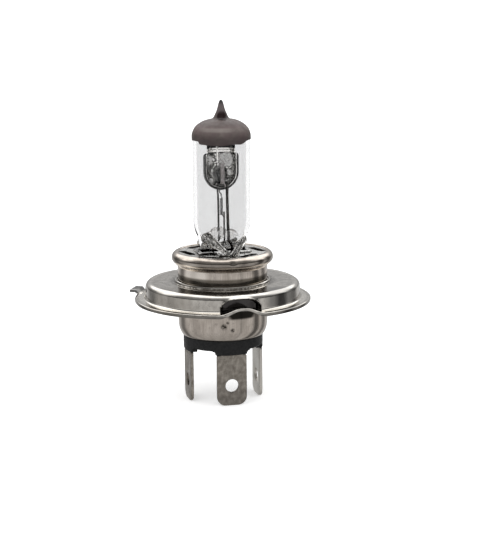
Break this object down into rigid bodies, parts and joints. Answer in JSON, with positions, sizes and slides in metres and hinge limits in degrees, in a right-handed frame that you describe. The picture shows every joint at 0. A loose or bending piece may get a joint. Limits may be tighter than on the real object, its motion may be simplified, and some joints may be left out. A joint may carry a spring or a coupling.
{
  "type": "headlight bulb",
  "caption": "Halogen headlight bulb: clear quartz tube with painted tip and inner beam shield, on a flanged metal cap with blade terminals.",
  "frame": {"origin": "on the lamp's axis, in the plane of the brim's glass-side face", "axes": "+Z along the lamp's axis from the cap to the glass tip; -Y towards the dipped-beam terminal and the brim's arch; +X towards the main-beam terminal"},
  "size_m": [0.043, 0.043, 0.0734],
  "materials": {
    "clear_quartz": "clear polished quartz",
    "bridge_quartz": "fire-polished quartz",
    "antiglare_paint": "matt high-temperature paint",
    "tungsten": "drawn tungsten wire",
    "shield_metal": "bright pressed molybdenum",
    "molybdenum": "drawn molybdenum",
    "lead_nickel": "nickel wire",
    "clip_steel": "bright spring steel",
    "plate_steel": "nickel-plated pressing",
    "sleeve_steel": "drawn nickel-plated sheet",
    "ring_steel": "pressed nickel-plated sheet",
    "black_moulding": "matt black thermoset moulding",
    "blade_metal": "dull tinned blade"
  },
  "bodies": {
    "root": {"glass_envelope": "clear_quartz", "antiglare_coating": "antiglare_paint", "dipped_beam_filament": "tungsten", "main_beam_filament": "tungsten", "beam_shield": "shield_metal", "dipped_beam_lead_wire": "molybdenum", "main_beam_lead_wire": "molybdenum", "shield_support_rod": "molybdenum", "main_beam_arm": "molybdenum", "quartz_bridge": "bridge_quartz", "dipped_beam_foil": "molybdenum", "main_beam_foil": "molybdenum", "common_foil": "molybdenum", "dipped_beam_outer_lead": "lead_nickel", "main_beam_outer_lead": "lead_nickel", "common_outer_lead": "lead_nickel", "pinch_clip": "clip_steel", "cap_top_plate": "plate_steel", "cap_sleeve": "sleeve_steel", "flange_ring": "ring_steel", "insulator_disc": "black_moulding", "dipped_beam_terminal": "blade_metal", "main_beam_terminal": "blade_metal", "common_terminal": "blade_metal"}
  },
  "joints": []
}
